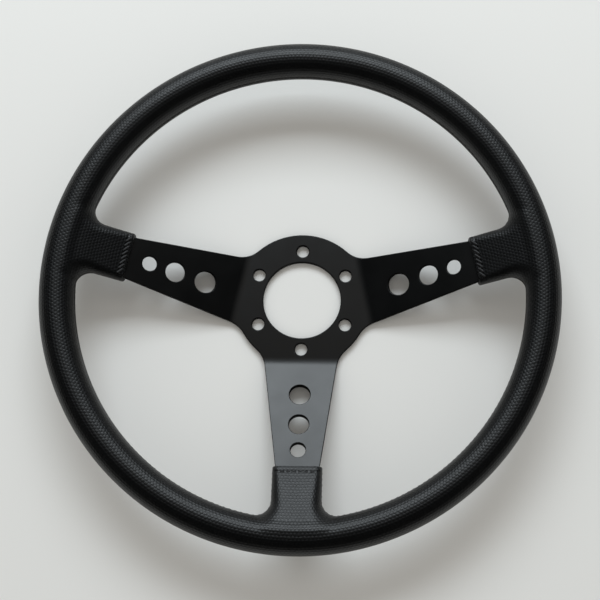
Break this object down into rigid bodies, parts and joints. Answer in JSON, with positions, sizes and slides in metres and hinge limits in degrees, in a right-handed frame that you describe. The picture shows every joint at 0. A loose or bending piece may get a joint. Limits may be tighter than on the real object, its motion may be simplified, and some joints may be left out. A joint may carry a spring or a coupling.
{
  "type": "car steering wheel",
  "caption": "Dished steering wheel with a flat metal spoke plate, a round hub with a bolt circle and an open bore, and a padded rim covered in grained leather with tapered boots over the spoke ends.",
  "frame": {"origin": "centre of the bolt circle on the back face of the hub", "axes": "+Z along the steering axis towards the driver, +Y towards the top of the wheel, +X towards the driver's right"},
  "size_m": [0.35, 0.35, 0.051],
  "materials": {
    "black_plate": "satin black anodised",
    "black_leather": "grained, semi gloss",
    "foam": "moulded foam",
    "hoop_metal": "plain rolled",
    "rivet_metal": "plain",
    "black_thread": "waxed thread"
  },
  "bodies": {
    "root": {"spoke_plate": "black_plate", "leather_cover": "black_leather", "foam_core": "foam", "rim_hoop": "hoop_metal", "tab_rivets": "rivet_metal", "seam_thread_upper": "black_thread", "seam_thread_left": "black_thread", "seam_thread_right": "black_thread", "hem_stitches_left": "black_thread", "hem_stitches_right": "black_thread", "hem_stitches_bottom": "black_thread"}
  },
  "joints": []
}
